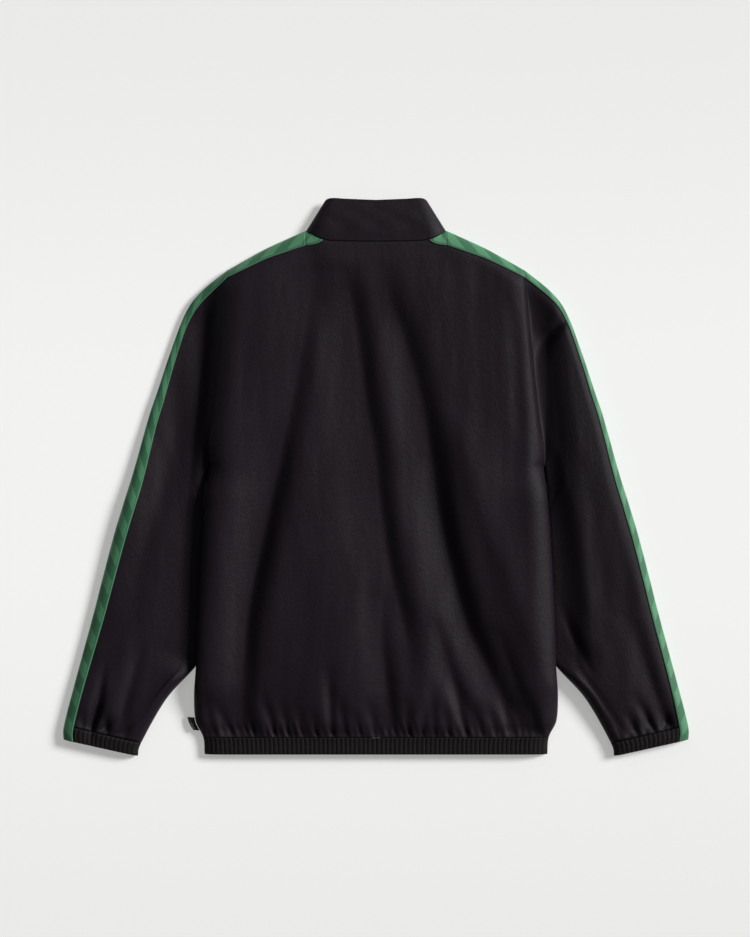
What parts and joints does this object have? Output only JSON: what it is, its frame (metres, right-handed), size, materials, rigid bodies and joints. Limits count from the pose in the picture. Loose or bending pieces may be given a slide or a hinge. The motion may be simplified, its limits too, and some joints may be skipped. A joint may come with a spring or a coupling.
{
  "type": "track jacket",
  "caption": "Track jacket laid flat back side up, with stand collar, taped shoulders and sleeves, ribbed hem and cuffs, and a closed front zip.",
  "frame": {"origin": "on the surface that the jacket lies on, under the middle of its outline", "axes": "+X across to the wearer's right sleeve, +Y from the hem to the collar, +Z out of the surface, towards the viewer"},
  "size_m": [0.8438, 0.7508, 0.0356],
  "materials": {
    "body_cloth": "matte woven nylon, near black with a plum cast",
    "rib_band": "gathered elastic band in the body's cloth",
    "shoulder_tape": "green woven tape with a tonal dash pattern",
    "label_cloth": "black satin label, left bare",
    "zip_tape": "black herringbone zip tape",
    "zip_plastic": "black moulded zip teeth",
    "zip_metal": "black enamelled zinc slider and pull"
  },
  "bodies": {
    "garment": {"back_panel": "body_cloth", "front_left": "body_cloth", "front_right": "body_cloth", "sleeve_back_left": "body_cloth", "sleeve_front_left": "body_cloth", "sleeve_back_right": "body_cloth", "sleeve_front_right": "body_cloth", "collar": "body_cloth", "hem_band": "rib_band", "cuff_left": "rib_band", "cuff_right": "rib_band", "tape_left": "shoulder_tape", "tape_right": "shoulder_tape", "zip_tape_left": "zip_tape", "zip_tape_right": "zip_tape", "zip_chain": "zip_plastic", "zip_box": "zip_plastic", "zip_slider": "zip_metal", "side_label": "label_cloth"},
    "pull_tab": {"zip_pull": "zip_metal"}
  },
  "joints": [
    {"name": "pull_swing", "type": "hinge", "parent": "garment", "child": "pull_tab", "pos_m": [0, 0.3008, 0.00275], "axis": [1, 0, 0], "range_deg": [0, 170]}
  ]
}
